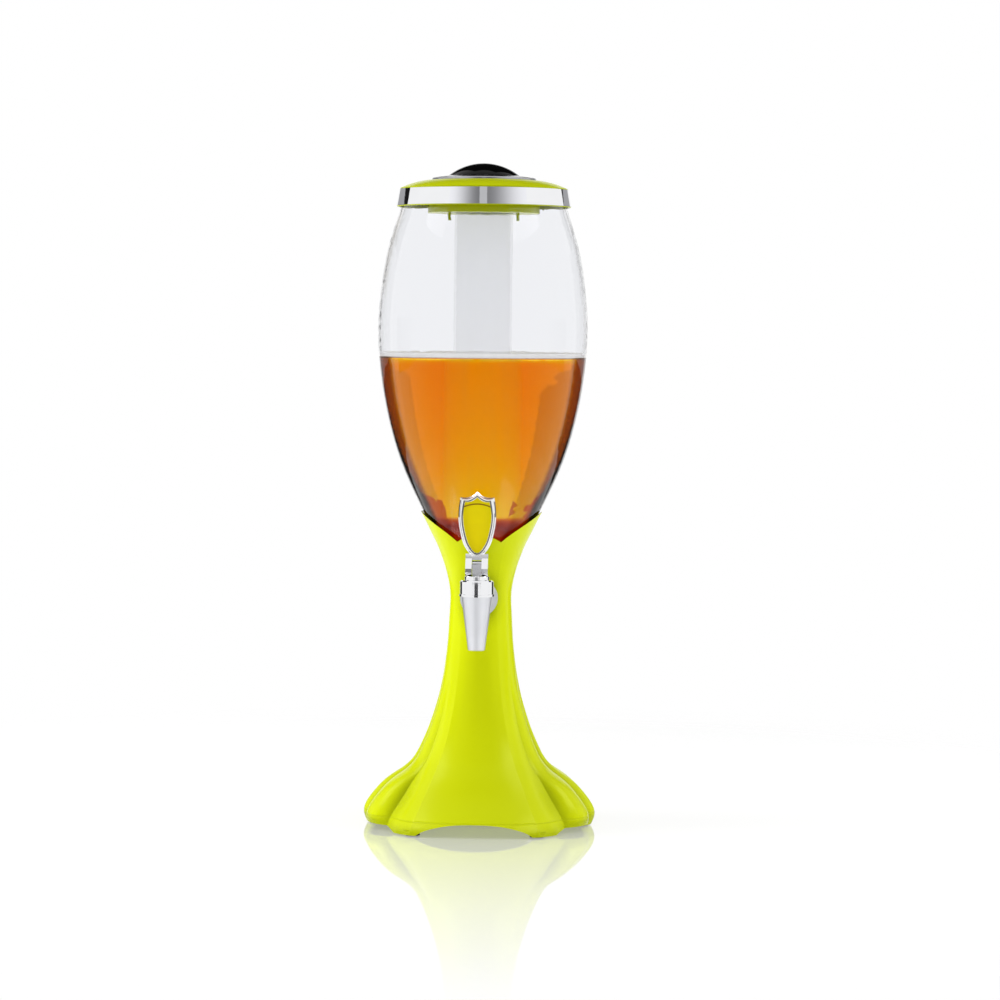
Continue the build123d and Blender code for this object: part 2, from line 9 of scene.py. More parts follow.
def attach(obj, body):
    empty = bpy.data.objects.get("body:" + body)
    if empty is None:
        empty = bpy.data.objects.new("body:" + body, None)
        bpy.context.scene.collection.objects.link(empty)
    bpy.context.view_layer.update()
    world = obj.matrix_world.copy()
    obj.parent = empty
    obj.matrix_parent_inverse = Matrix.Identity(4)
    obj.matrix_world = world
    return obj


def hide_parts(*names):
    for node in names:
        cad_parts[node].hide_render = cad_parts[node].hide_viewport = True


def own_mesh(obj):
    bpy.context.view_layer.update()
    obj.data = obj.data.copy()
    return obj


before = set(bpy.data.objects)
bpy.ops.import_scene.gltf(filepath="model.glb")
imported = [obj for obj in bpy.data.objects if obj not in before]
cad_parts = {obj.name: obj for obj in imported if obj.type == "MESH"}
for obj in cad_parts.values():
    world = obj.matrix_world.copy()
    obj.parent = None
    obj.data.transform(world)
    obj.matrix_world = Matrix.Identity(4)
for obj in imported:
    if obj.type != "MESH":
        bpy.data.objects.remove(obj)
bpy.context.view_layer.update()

# ---------------------------------------------------------------- camera
# A long lens just below the height of the tank's widest part, a little to the right
# of the tap, tipped down so that the table shows in front of the foot.
camera_distance = 2.510
camera_height = 0.3915
camera_azimuth = math.radians(2.9)
camera_pan = math.radians(-0.324)
camera_tip = math.radians(3.20)
camera_roll = math.radians(0.48)
camera_lens = 117.2
camera_film = 36.0
camera_sight = 50.0


def stand_up(right, above, back, place):
    """Matrix of an object: its columns are its own X, Y and Z directions and its place."""
    matrix = np.eye(4)
    matrix[:3, 0] = right
    matrix[:3, 1] = above
    matrix[:3, 2] = back
    matrix[:3, 3] = place
    return Matrix(matrix.tolist())


def aim_camera():
    """Camera matrix from its azimuth round the tower, its pan, its tip and its roll."""
    heading = camera_azimuth + camera_pan
    ahead = np.array([-math.sin(heading) * math.cos(camera_tip),
                      math.cos(heading) * math.cos(camera_tip),
                      -math.sin(camera_tip)])
    level = np.array([math.cos(heading), math.sin(heading), 0.0])
    upward = np.cross(level, ahead)
    right = level * math.cos(camera_roll) + upward * math.sin(camera_roll)
    above = upward * math.cos(camera_roll) - level * math.sin(camera_roll)
    place = np.array([camera_distance * math.sin(camera_azimuth),
                      -camera_distance * math.cos(camera_azimuth),
                      camera_height])
    return stand_up(right, above, -ahead, place)


camera = bpy.data.objects.new("camera", bpy.data.cameras.new("camera"))
camera.data.lens = camera_lens
camera.data.sensor_width = camera_film
camera.data.clip_end = camera_sight
camera.matrix_world = aim_camera()
bpy.context.scene.collection.objects.link(camera)
bpy.context.scene.camera = camera
bpy.context.scene.view_settings.view_transform = "Standard"


# ---------------------------------------------------------------- studio
# A white room with a soft box at each side and one overhead. Curved cards stand round
# the tower for its chrome and its glass to mirror, and a white table lies under it.
class Wire:
    """A shader socket. A sum written on it in Python adds the Math nodes that work it out."""

    def __init__(self, tree, socket):
        self.tree = tree
        self.socket = socket

    def math(self, operation, *values):
        node = self.tree.nodes.new("ShaderNodeMath")
        node.operation = operation
        for entry, value in zip(node.inputs, values):
            feed(self.tree, entry, value)
        return Wire(self.tree, node.outputs[0])

    def __add__(self, other):
        return self.math("ADD", self, other)

    def __sub__(self, other):
        return self.math("SUBTRACT", self, other)

    def __rsub__(self, other):
        return self.math("SUBTRACT", other, self)

    def __mul__(self, other):
        return self.math("MULTIPLY", self, other)

    def __abs__(self):
        return self.math("ABSOLUTE", self)

    __radd__ = __add__
    __rmul__ = __mul__

    def larger(self, other):
        return self.math("MAXIMUM", self, other)

    def step(self, low, high):
        """0 below low, 1 above high, smooth between; low above high turns it round."""
        node = self.tree.nodes.new("ShaderNodeMapRange")
        node.interpolation_type = "SMOOTHSTEP"
        flip = low > high
        feed(self.tree, node.inputs["Value"], self)
        feed(self.tree, node.inputs["From Min"], min(low, high))
        feed(self.tree, node.inputs["From Max"], max(low, high))
        feed(self.tree, node.inputs["To Min"], 1.0 if flip else 0.0)
        feed(self.tree, node.inputs["To Max"], 0.0 if flip else 1.0)
        return Wire(self.tree, node.outputs[0])


def feed(tree, entry, value):
    """Links a wire to a socket, or sets the socket's own value."""
    if isinstance(value, Wire):
        tree.links.new(value.socket, entry)
    elif entry.type == "RGBA" and len(value) == 3:
        entry.default_value = (*value, 1.0)
    else:
        entry.default_value = value


class Tree:
    """A node tree that is being filled: a material's or the world's."""

    def __init__(self, owner):
        owner.use_nodes = True
        self.tree = owner.node_tree
        self.tree.nodes.clear()
        self.owner = owner

    def node(self, kind, settings=None, inputs=None):
        """Adds a node: its settings first, then its sockets. Gives its outputs by name."""
        node = self.tree.nodes.new("ShaderNode" + kind)
        for key, value in (settings or {}).items():
            setattr(node, key, value)
        for key, value in (inputs or {}).items():
            feed(self.tree, node.inputs[key], value)
        return {socket.name: Wire(self.tree, socket) for socket in node.outputs if socket.enabled}

    def light_path(self):
        """1 where the camera, a reflection or glass sees this directly."""
        rays = self.node("LightPath")
        seen = rays["Is Camera Ray"].larger(rays["Is Glossy Ray"])
        return seen.larger(rays["Is Transmission Ray"])


white = (1.0, 1.0, 1.0)
room_white = 1.0
room_fill = 0.47


def paint_world():
    """White where it is looked at, and a plain fill of light otherwise."""
    world = bpy.data.worlds.new("room")
    bpy.context.scene.world = world
    room = Tree(world)
    seen = room.light_path()
    strength = room_fill + seen * (room_white - room_fill)
    glow = room.node("Background", None, {"Color": white, "Strength": strength})
    room.node("OutputWorld", None, {"Surface": glow["Background"]})


paint_world()


def grid_mesh(name, points, closed_u=False, closed_v=False):
    """Mesh of a grid of points, shaped (rows, columns, 3); a closed direction joins its ends."""
    rows, columns = points.shape[:2]
    index = np.arange(rows * columns).reshape(rows, columns)
    if closed_u:
        index = np.concatenate([index, index[:1]], axis=0)
    if closed_v:
        index = np.concatenate([index, index[:, :1]], axis=1)
    faces = np.stack([index[:-1, :-1], index[:-1, 1:], index[1:, 1:], index[1:, :-1]], axis=-1)
    mesh = bpy.data.meshes.new(name)
    mesh.from_pydata(points.reshape(-1, 3).tolist(), [], faces.reshape(-1, 4).tolist())
    mesh.polygons.foreach_set("use_smooth", [True] * len(mesh.polygons))
    piece = bpy.data.objects.new(name, mesh)
    bpy.context.scene.collection.objects.link(piece)
    return piece


lamp_target = np.array([0.0, 0.0, 0.25])
lamp_upright = np.array([0.0, 0.0, 1.0])


def soft_box(name, azimuth, height, distance, width, tall, radiance):
    """Flat lamp that faces the tower. Azimuth 0 is the tap's side, and the lamp's power is its
    radiance times its area times pi."""
    lamp = bpy.data.lights.new(name, "AREA")
    lamp.shape = "RECTANGLE"
    lamp.size, lamp.size_y = width, tall
    lamp.energy = math.pi * width * tall * radiance
    turn = math.radians(azimuth)
    away = np.array([math.sin(turn), -math.cos(turn), 0.0])
    place = away * distance + np.array([0.0, 0.0, height])
    look = lamp_target - place
    look /= np.linalg.norm(look)
    side = np.cross(look, lamp_upright)
    side /= np.linalg.norm(side)
    box = bpy.data.objects.new(name, lamp)
    box.matrix_world = stand_up(side, np.cross(side, look), -look, place)
    box.visible_camera = False
    box.visible_glossy = False
    box.visible_transmission = False
    bpy.context.scene.collection.objects.link(box)


soft_box("box_left", -82, 0.42, 1.3, 0.60, 1.3, 6.8)
soft_box("box_right", 80, 0.42, 1.3, 0.50, 1.3, 4.6)
soft_box("box_top", 0, 1.7, 0.3, 1.4, 1.0, 1.0)

card_columns = 49
card_tint = (0.97, 0.97, 1.0)
level_back = 11.0


def flag(name, start, end, low, high, distance, in_gloss, in_glass=None, white_at=None,
         tint=card_tint, slant=0.0):
    """Curved card round the tower between two azimuths and two heights. Its greys are those that
    gloss and glass see, None where one doesn't see it; it may fade to white towards an azimuth.
    Its lower edge may slant: past a level stretch at the back it rises by so much a degree."""
    degrees = np.linspace(start, end, card_columns)
    turn = np.radians(degrees)[:, None]
    from_back = np.abs(180.0 - np.abs(degrees))
    foot = (low + slant * np.maximum(0.0, from_back - level_back))[:, None]
    height = foot + (high - foot) * np.array([[0.0, 1.0]])
    points = np.stack([distance * np.sin(turn) + 0 * height,
                       -distance * np.cos(turn) + 0 * height, height], axis=-1)
    card = grid_mesh(name, points)
    paint = Tree(bpy.data.materials.new(name))
    grey = in_gloss if in_glass is None else in_glass
    if white_at is not None:
        dark_at = start + end - white_at
        parts = paint.node("SeparateXYZ", None, {"Vector": paint.node("TexCoord")["Object"]})
        azimuth = parts["X"].math("ARCTAN2", parts["X"], parts["Y"] * -1.0)
        share = azimuth.step(math.radians(dark_at), math.radians(white_at))
        grey = grey + share * (1.0 - grey)
    glow = paint.node("Emission", None, {"Color": tint, "Strength": grey})
    paint.node("OutputMaterial", None, {"Surface": glow["Emission"]})
    card.data.materials.append(paint.owner)
    card.visible_camera = False
    card.visible_diffuse = False
    card.visible_shadow = False
    card.visible_glossy = in_gloss is not None
    card.visible_transmission = in_glass is not None


# Dark cards behind and beside the tower draw the edges of its chrome: each has its azimuths,
# its lower and upper edge, its distance and its grey.
card_foot, card_waist, card_shoulder, card_head = -0.2, 0.22, 0.75, 2.2
for card_facts in (
        ("flag_left_low", -155, -118, card_foot, card_waist, 1.60, 0.03),
        ("flag_right_low", 125, 158, card_foot, card_waist, 1.60, 0.03),
        ("flag_left", -155, -118, card_waist, card_shoulder, 1.60, 0.40),
        ("flag_right", 125, 158, card_waist, card_shoulder, 1.60, 0.40),
        ("flag_left_high", -141, -117, card_shoulder, card_head, 1.60, 0.012),
        ("flag_right_high", 132, 147, card_shoulder, card_head, 1.60, 0.012),
        ("side_card_left", -104, -80, 0.09, 0.48, 1.62, 0.05),
        ("side_card_right", 80, 104, 0.09, 0.48, 1.62, 0.16)):
    flag(*card_facts)

# The tank is a thick lens that shows what stands far round to the sides and high up. Glass
# alone sees these: pale cards that shade the empty tank, and high ones, red-brown, whose edges
# rise towards the sides and deepen the foot of the beer.
high_slant = 0.0126
for name, start, end, low, high, distance, slant, colour in (
        ("side_left", -160, -138, 0.50, 1.25, 1.66, 0.0, (0.76, 0.74, 0.70)),
        ("side_right", 143, 160, 0.50, 1.25, 1.66, 0.0, (0.82, 0.82, 0.82)),
        ("high_left", 197, 270, 0.72, 3.0, 1.64, high_slant, (0.56, 0.20, 0.09)),
        ("high_right", 90, 163, 0.78, 3.0, 1.64, high_slant, (0.60, 0.24, 0.09))):
    flag(name, start, end, low, high, distance, None, in_glass=1.0, tint=colour, slant=slant)

# Two bright cards high at the sides put glints in the curved metal, a dark one behind keeps
# the knob black, and grey ones before the tower give tap, yoke and shield their darker middles.
flag("gloss_left", -92, -52, 1.25, 2.6, 1.5, 6.0)
flag("gloss_right", 40, 84, 1.25, 2.6, 1.5, 6.0)
flag("dark_above_knob", 157, 203, 1.05, 3.4, 1.64, 0.01)
flag("front_card_left", -44, -3, 0.24, card_head, 1.7, 0.22, white_at=-44)
flag("front_card_right", 7, 62, 0.24, card_head, 1.7, 0.24, white_at=62)
flag("front_card_middle", -3, 7, 0.24, card_head, 1.7, 0.56)
flag("front_card_low", -13, 10, card_foot, 0.068, 1.65, 0.03)
flag("front_card_yoke", -30, 30, 0.068, 0.100, 1.65, 0.50)

table_radius = 0.80
table_drop = 0.0002
table_pole = 0.001
table_crowding = 1.5
table_rings, table_steps = 40, 96
table_grey = (0.50, 0.50, 0.50)
table_glow = 0.60
mirror_share, mirror_fall = 0.62, 0.86
table_fade_from, table_fade_to = 0.50, 0.78


def lay_table():
    """White acrylic table top, lit a little from within: it mirrors the foot close by, less
    further off, and melts into the room. Its rings crowd towards the middle by a power."""
    turn = np.linspace(0.0, 2 * math.pi, table_steps, endpoint=False)[:, None]
    share_out = np.linspace(table_pole, 1.0, table_rings)[None, :]
    reach = share_out ** table_crowding * table_radius
    across, along = reach * np.cos(turn), reach * np.sin(turn)
    points = np.stack([across, along, np.full_like(across, -table_drop)], axis=-1)
    table = grid_mesh("table", points, closed_u=True)
    paint = Tree(bpy.data.materials.new("table"))
    place = paint.node("TexCoord")["Object"]
    far = paint.node("VectorMath", {"operation": "LENGTH"}, {"Vector": place})["Value"]
    matt = paint.node("BsdfPrincipled", None, {
        "Base Color": table_grey, "Roughness": 0.6, "Specular IOR Level": 0.0,
        "Emission Color": white, "Emission Strength": table_glow})
    mirror = paint.node("BsdfGlossy", None, {"Color": white, "Roughness": 0.03})
    share = (mirror_share - far * mirror_fall).larger(0.0)
    near = paint.node("MixShader", None, {"Fac": share, 1: matt["BSDF"], 2: mirror["BSDF"]})
    clear = paint.node("BsdfTransparent")
    whole = paint.node("MixShader", None, {
        "Fac": far.step(table_fade_from, table_fade_to), 1: near["Shader"], 2: clear["BSDF"]})
    paint.node("OutputMaterial", None, {"Surface": whole["Shader"]})
    table.data.materials.append(paint.owner)


lay_table()


# ---------------------------------------------------------------- stand
# One hollow moulding in glossy lime ABS: fluted foot, neck and the crown that cups
# the tank. The mould leaves a faint orange-peel skin and a fine line above the hem; shade in
# the creases and along that line is painted into the colour.
class Finish(Tree):
    """A surface finish: a material, with the coordinates and patterns that its nodes start from."""

    def __init__(self, name):
        super().__init__(bpy.data.materials.new(name))
        self.place = self.node("TexCoord")["Object"]
        parts = self.node("SeparateXYZ", None, {"Vector": self.place})
        self.x, self.z = parts["X"], parts["Z"]

    def grain(self, scale, detail, stretch=(1.0, 1.0, 1.0)):
        """Noise from 0 to 1; scale counts its features in a metre."""
        bent = self.node("Mapping", None, {"Vector": self.place, "Scale": stretch})["Vector"]
        return self.node("TexNoise", None, {"Vector": bent, "Scale": scale, "Detail": detail})["Fac"]

    def blend(self, share, first, second):
        """Colour between two colours."""
        mixed = self.node("Mix", {"data_type": "RGBA"}, {0: share, 6: first, 7: second})
        return mixed["Result"]

    def relief(self, height, depth, strength=1.0):
        """Surface normal from a height of 0 to 1, depth metres deep."""
        bump = self.node("Bump", None, {"Height": height, "Distance": depth, "Strength": strength})
        return bump["Normal"]

    def surface(self, **inputs):
        """Ends the tree in a Principled surface; words of a socket's name are joined by _."""
        sockets = {key.replace("_", " "): value for key, value in inputs.items()}
        shader = self.node("BsdfPrincipled", None, sockets)
        self.node("OutputMaterial", None, {"Surface": shader["BSDF"]})
        return self


def dress(node, finish):
    """Gives every material slot of a CAD node one finish."""
    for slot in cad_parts[node].material_slots:
        slot.material = finish.owner


# The deeper lime serves for random clouding and for painted shade in creases and along the mould
# line.
lime = (0.655, 0.735, 0.0010)
lime_deep_and_shade = (0.40, 0.46, 0.0005)
lime_gloss = (0.93, 1.0, 0.30)
peel_per_metre = 420.0
peel_depth = 0.00004
crease_reach = 0.016
mould_line_height = 0.0105
mould_line_outer, mould_line_inner = 0.0009, 0.0002


def lime_finish(name, hem=None):
    """Glossy lime ABS with orange peel and painted shade in its creases; hem is the height of a fine
    mould line, a groove eight times as deep as the peel is high, with painted shade along it."""
    finish = Finish(name)
    peel = finish.grain(peel_per_metre, 2.0)
    cloud = finish.grain(9.0, 2.0)
    height = peel * 0.5
    share = cloud.step(0.3, 0.7) * 0.15
    # Painted shade: an ambient occlusion mask darkens the lime towards its deeper tone in creases.
    crease_shade = finish.node("AmbientOcclusion", {"samples": 8}, {"Distance": crease_reach})["AO"]
    share = share.larger(crease_shade.step(0.99, 0.80))
    if hem is not None:
        # Painted shade along the mould line: the colour darkens there as well as the groove being
        # sunk.
        line = abs(finish.z - hem).step(mould_line_outer, mould_line_inner)
        height = height - line * 4.0
        share = share.larger(line * 0.4)
    return finish.surface(
        Base_Color=finish.blend(share, lime, lime_deep_and_shade),
        Roughness=0.20 + peel * 0.05,
        Specular_IOR_Level=0.2,
        Specular_Tint=lime_gloss,
        Normal=finish.relief(height, peel_depth))


dress("stand", lime_finish("lime_stand", hem=mould_line_height))


# ---------------------------------------------------------------- foot pads
# Six black rubber discs pressed up under the claws, with a matt moulded grain. The
# ring under the tap's bonnet is of the same rubber.
rubber_black = (0.018, 0.018, 0.019)
rubber_dusty = (0.034, 0.034, 0.036)


def rubber_finish():
    """Black rubber: matt, with a fine pitted grain."""
    finish = Finish("black_rubber")
    pits = finish.grain(2600.0, 4.0)
    return finish.surface(
        Base_Color=finish.blend(pits, rubber_black, rubber_dusty),
        Roughness=0.62 + pits * 0.2,
        Normal=finish.relief(pits, 0.00008))


rubber = rubber_finish()
dress("foot_pads", rubber)
dress("bonnet_seal", rubber)


# ---------------------------------------------------------------- tank
# Clear polycarbonate blown into a barrel, closed below by the stem that feeds the
# tap. Faint level ripples run in the wall, and a rolled rim sits under the lid.
tank_tint = (0.930, 0.935, 0.950)
tank_gloss = (0.14, 0.14, 0.14)
tank_bending = 1.46
ripple_depth = 0.0001


def tank_finish():
    """Clear polycarbonate with faint level ripples from blowing."""
    finish = Finish("clear_tank")
    ripple = finish.grain(14.0, 1.0, stretch=(1.0, 1.0, 3.0))
    smear = finish.grain(60.0, 3.0)
    return finish.surface(
        Base_Color=tank_tint,
        Roughness=smear.step(0.5, 0.9) * 0.012,
        IOR=tank_bending,
        Specular_Tint=tank_gloss,
        Transmission_Weight=1.0,
        Normal=finish.relief(ripple, ripple_depth, 0.04))


dress("tank", tank_finish())


# ---------------------------------------------------------------- beer
# Amber beer that fills the lower half of the tank up to a level line, wetting the
# wall in a small curve, under a thin layer of froth that is heaped at the wall.
tank_wall = 0.0022
beer_level = 0.3606
beer_foot = 0.1895
wall_overlap = 0.0006
meniscus_height = 0.0011
meniscus_width = 0.0013
meniscus_steps = np.array([0.0, 0.0008, 0.0016, 0.0026, 0.0040, 0.0060])
meniscus_end = 0.009
wall_rings, level_rings, foot_rings = 120, 24, 8
# The tank's outer face, radius and height, from under its rim down to its stem.
bowl_profile = np.array([
    (62.4, 480.5), (63.9, 475.5), (71.6, 451.3), (78.5, 414.2), (80.7, 381.8), (78.5, 349.3),
    (71.9, 312.3), (60.3, 275.2), (43.9, 240.4), (30.9, 218.0), (22.2, 207.0), (18.0, 198.0),
    (18.0, 188.0)]) / 1000.0


def cubic_through(stations, values, wanted):
    """Natural cubic spline: the second slopes solve one linear system, and each span is a cubic."""
    gaps = np.diff(stations)
    count = len(stations)
    system, target = np.eye(count), np.zeros(count)
    for row in range(1, count - 1):
        system[row, row - 1:row + 2] = gaps[row - 1], 2 * (gaps[row - 1] + gaps[row]), gaps[row]
        rise = (values[row + 1] - values[row]) / gaps[row]
        target[row] = 6 * (rise - (values[row] - values[row - 1]) / gaps[row - 1])
    bend = np.linalg.solve(system, target)
    span = np.clip(np.searchsorted(stations, wanted) - 1, 0, count - 2)
    left, right = wanted - stations[span], stations[span + 1] - wanted
    gap = gaps[span]
    return (bend[span] * right ** 3 + bend[span + 1] * left ** 3) / (6 * gap) \
        + (values[span] / gap - bend[span] * gap / 6) * right \
        + (values[span + 1] / gap - bend[span + 1] * gap / 6) * left


def inner_wall(heights, into_wall):
    """Radius of the tank's inner face at given heights, moved out into the wall by a distance: the
    outer radius less the wall, which a slope makes longer along the radius."""
    rising = bowl_profile[::-1]
    outer = cubic_through(rising[:, 1], rising[:, 0], heights)
    slope = np.gradient(outer, heights)
    return outer - (tank_wall - into_wall) * np.sqrt(1 + slope ** 2)


same_point = 1e-7
no_length = 1e-8


def weld(piece, angle=math.radians(40.0)):
    """Merges points that meet, turns the faces outwards and keeps edges past an angle sharp."""
    shape = bmesh.new()
    shape.from_mesh(piece.data)
    bmesh.ops.remove_doubles(shape, verts=shape.verts, dist=same_point)
    bmesh.ops.dissolve_degenerate(shape, edges=shape.edges, dist=no_length)
    bmesh.ops.recalc_face_normals(shape, faces=shape.faces)
    shape.to_mesh(piece.data)
    shape.free()
    piece.data.polygons.foreach_set("use_smooth", [True] * len(piece.data.polygons))
    piece.data.set_sharp_from_angle(angle=angle)


def lathe(name, outline, steps=160):
    """Surface of revolution of an outline of (radius, height) points; ends on the axis are closed."""
    turn = np.linspace(0.0, 2 * math.pi, steps, endpoint=False)[:, None]
    radius, height = outline[:, 0][None, :], outline[:, 1][None, :]
    points = np.stack([radius * np.cos(turn), radius * np.sin(turn), height + 0 * turn], axis=-1)
    piece = grid_mesh(name, points, closed_u=True)
    weld(piece)
    return piece


def pour_beer():
    """Beer: up the wall from the stem, a meniscus at the top that falls off as the exponential of
    the distance from the wall, and level across to the axis."""
    heights = np.linspace(beer_foot, beer_level, wall_rings)
    wall = np.stack([inner_wall(heights, wall_overlap), heights], axis=1)
    rim = wall[-1, 0]
    climb = meniscus_height * np.exp(-meniscus_steps / meniscus_width)
    top = np.stack([rim - meniscus_steps, beer_level + climb], axis=1)
    inward = np.linspace(rim - meniscus_end, 0.0, level_rings)
    across = np.stack([inward, np.full(level_rings, beer_level)], axis=1)
    outward = np.linspace(0.0, wall[0, 0], foot_rings)[:-1]
    foot = np.stack([outward, np.full(foot_rings - 1, beer_foot)], axis=1)
    return lathe("beer", np.concatenate([foot, wall, top, across]))


brown_edge_shade = (0.11, 0.025, 0.002)
brown_from, brown_to = 0.195, 0.235
beer_bending = 1.34
amber, amber_per_metre = (0.995, 0.90, 0.30), 25.0


def beer_finish():
    """Clear amber liquid: the light that is left falls off with the depth it has crossed. Where it
    is met at a slant, near its outline, a brown-tinted refraction is mixed in: painted shade for its
    dark edges."""
    finish = Finish("beer")
    clear, slanting_shade = (finish.node("BsdfPrincipled", None, {
        "Base Color": colour, "Roughness": 0.0, "IOR": beer_bending, "Transmission Weight": 1.0,
        "Specular Tint": (0.0, 0.0, 0.0)}) for colour in (white, brown_edge_shade))
    # Painted shade: the facing mixes in the brown refraction towards the beer's outline.
    slant = finish.node("LayerWeight", None, {"Blend": 0.5})["Facing"]
    slant = slant.step(brown_from, brown_to) * (1 - finish.node("NewGeometry")["Backfacing"])
    surface = finish.node("MixShader", None, {"Fac": slant, 1: clear["BSDF"], 2: slanting_shade["BSDF"]})
    soak = finish.node("VolumeAbsorption", None, {"Color": amber, "Density": amber_per_metre})
    finish.node("OutputMaterial", None, {"Surface": surface["Shader"], "Volume": soak["Volume"]})
    return finish


beer = pour_beer()
beer.data.materials.append(beer_finish().owner)
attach(beer, "tower")


# The ice tube takes the beer's place where it hangs, so the liquid is deepest in colour round
# the tube and in the bowl under it, where the deeper colour is partly painted shade. Two more
# bodies add that depth and bend no light; they are clear surfaces too, so a ray may pass more of
# those than it usually may.
tube_place = 0.0224
tube_foot = 0.2415
tube_round = 0.004
dark_top = 0.2405
cut_short = 0.0005
drawn_in = 0.0002
ring_rows, bowl_rows = 90, 40
bpy.context.scene.cycles.transparent_max_bounces = 24


def steep_beer():
    """Ring of deeper colour: the beer's own outline drawn in a little, less the tube's place."""
    heights = np.linspace(beer_foot + cut_short, beer_level - cut_short, ring_rows)
    wall = np.stack([inner_wall(heights, -drawn_in), heights], axis=1)
    top, foot = heights[-1], heights[0]
    well = np.array([(tube_place, top), (tube_place, tube_foot + tube_round),
                     (tube_place - tube_round, tube_foot), (0.0, tube_foot)])
    return lathe("beer_round_tube", np.concatenate([[(0.0, foot)], wall, well]))


def settle_beer():
    """Darkest beer, in the bowl under the tube's foot, the outline drawn in twice as much: partly
    more beer, partly painted shade.
    """
    heights = np.linspace(beer_foot + 2 * cut_short, dark_top, bowl_rows)
    wall = np.stack([inner_wall(heights, -2 * drawn_in), heights], axis=1)
    return lathe("beer_in_bowl", np.concatenate([[(0.0, heights[0])], wall, [(0.0, dark_top)]]))


def depth_finish(name, colour, density):
    """No surface of its own, only the amber that the light loses on its way."""
    finish = Finish(name)
    shader = finish.node("BsdfPrincipled", None, {"Base Color": white, "Alpha": 0.0})
    soak = finish.node("VolumeAbsorption", None, {"Color": colour, "Density": density})
    finish.node("OutputMaterial", None, {"Surface": shader["BSDF"], "Volume": soak["Volume"]})
    return finish


for body, name, colour, density in (
        (steep_beer(), "beer_depth", (0.990, 0.890, 0.0), 80.0),
        (settle_beer(), "beer_dark", (0.80, 0.36, 0.0), 90.0)):
    body.data.materials.append(depth_finish(name, colour, density).owner)
    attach(body, "tower")

froth_low = beer_level + 0.0006
froth_high = beer_level + 0.0042
froth_thin = 0.0008
heap_width = 0.0026
heap_end, level_start = 0.008, 0.012
heap_rings, layer_rings, base_rings = 16, 10, 6
froth_steps = 200
froth_white, froth_cream = (0.98, 0.98, 0.98), (0.93, 0.92, 0.90)
bubbles_per_metre = 900.0


def froth_layer(outer):
    """Froth on the beer out to a radius: a thin level layer, heaped against the wall as a bell
    curve of the distance from it."""
    inward = np.concatenate([np.linspace(0.0, heap_end, heap_rings),
                             np.linspace(level_start, outer, layer_rings)])
    heap = (froth_high - froth_low - froth_thin) * np.exp(-(inward / heap_width) ** 2)
    top = np.stack([outer - inward, froth_low + froth_thin + heap], axis=1)
    outward = np.linspace(0.0, outer, base_rings)
    base = np.stack([outward, np.full(base_rings, froth_low)], axis=1)
    return lathe("froth", np.concatenate([base, top]), froth_steps)


def froth_finish():
    """White froth: small bubbles as cells, with a painted glow in place of the light that scatters
    inside them.
    """
    finish = Finish("froth")
    bubbles = finish.node("TexVoronoi", {"feature": "SMOOTH_F1"}, {
        "Vector": finish.place, "Scale": bubbles_per_metre})["Distance"]
    return finish.surface(
        Base_Color=finish.blend(bubbles, froth_white, froth_cream),
        Roughness=0.45 + bubbles * 0.2,
        # Painted light: a faint emission brightens the froth.
        Emission_Color=white,
        Emission_Strength=0.20,
        Normal=finish.relief(bubbles, 0.0003))


froth_overlap = 0.0001
froth_span = np.array([beer_level - 0.001, beer_level + 0.002])
froth = froth_layer(float(inner_wall(froth_span, froth_overlap)[1]))
froth.data.materials.append(froth_finish().owner)
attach(froth, "tower")


# ---------------------------------------------------------------- insert and washers
# A turned brass bush moulded into the stem's boss, and milky silicone washers that
# seal the stem, the neck, the plug, the plunger and the lid.
line_scale = 40.0


def turned_finish(name, bright, dull, rough, rings):
    """Turned or drawn metal: fine lines across the axis, counted per metre."""
    finish = Finish(name)
    lines = finish.grain(line_scale, 2.0, stretch=(1.0, 1.0, rings / line_scale))
    wear = finish.grain(300.0, 3.0)
    return finish.surface(
        Base_Color=finish.blend(wear, bright, dull),
        Metallic=1.0,
        Roughness=rough + lines * 0.08,
        Normal=finish.relief(lines, 0.00002))


silicone_clear, silicone_dull = (0.80, 0.80, 0.78), (0.70, 0.70, 0.68)


def silicone_finish():
    """Milky silicone: soft sheen, slightly clouded."""
    finish = Finish("silicone")
    cloud = finish.grain(260.0, 3.0)
    return finish.surface(
        Base_Color=finish.blend(cloud, silicone_clear, silicone_dull),
        Roughness=0.42 + cloud * 0.12,
        Subsurface_Weight=0.25,
        Normal=finish.relief(cloud, 0.00003))


dress("stem_insert", turned_finish("brass", (0.72, 0.50, 0.21), (0.58, 0.38, 0.15), 0.22, 2400.0))
silicone = silicone_finish()
for seal in ("neck_washer", "stem_washer", "plunger_seal", "lid_gasket", "cap_seal"):
    dress(seal, silicone)


# ---------------------------------------------------------------- tap
# Zinc castings: the barrel with its bead and shank, the bonnet, the plunger and the
# lever are bright chrome; the tapered spout and the rose against the neck are satin.
chrome_bright, chrome_dull = (0.90, 0.905, 0.92), (0.84, 0.845, 0.86)
satin_bright, satin_dull = (0.80, 0.81, 0.84), (0.72, 0.73, 0.76)


def chrome_finish(name, rough):
    """Bright chrome over a polished casting: a trace of ripple and thin cloudy wear."""
    finish = Finish(name)
    ripple = finish.grain(110.0, 2.0)
    smear = finish.grain(45.0, 4.0)
    return finish.surface(
        Base_Color=finish.blend(smear, chrome_bright, chrome_dull),
        Metallic=1.0,
        Roughness=rough + smear.step(0.45, 0.8) * 0.05,
        Normal=finish.relief(ripple, 0.00005, 0.4))


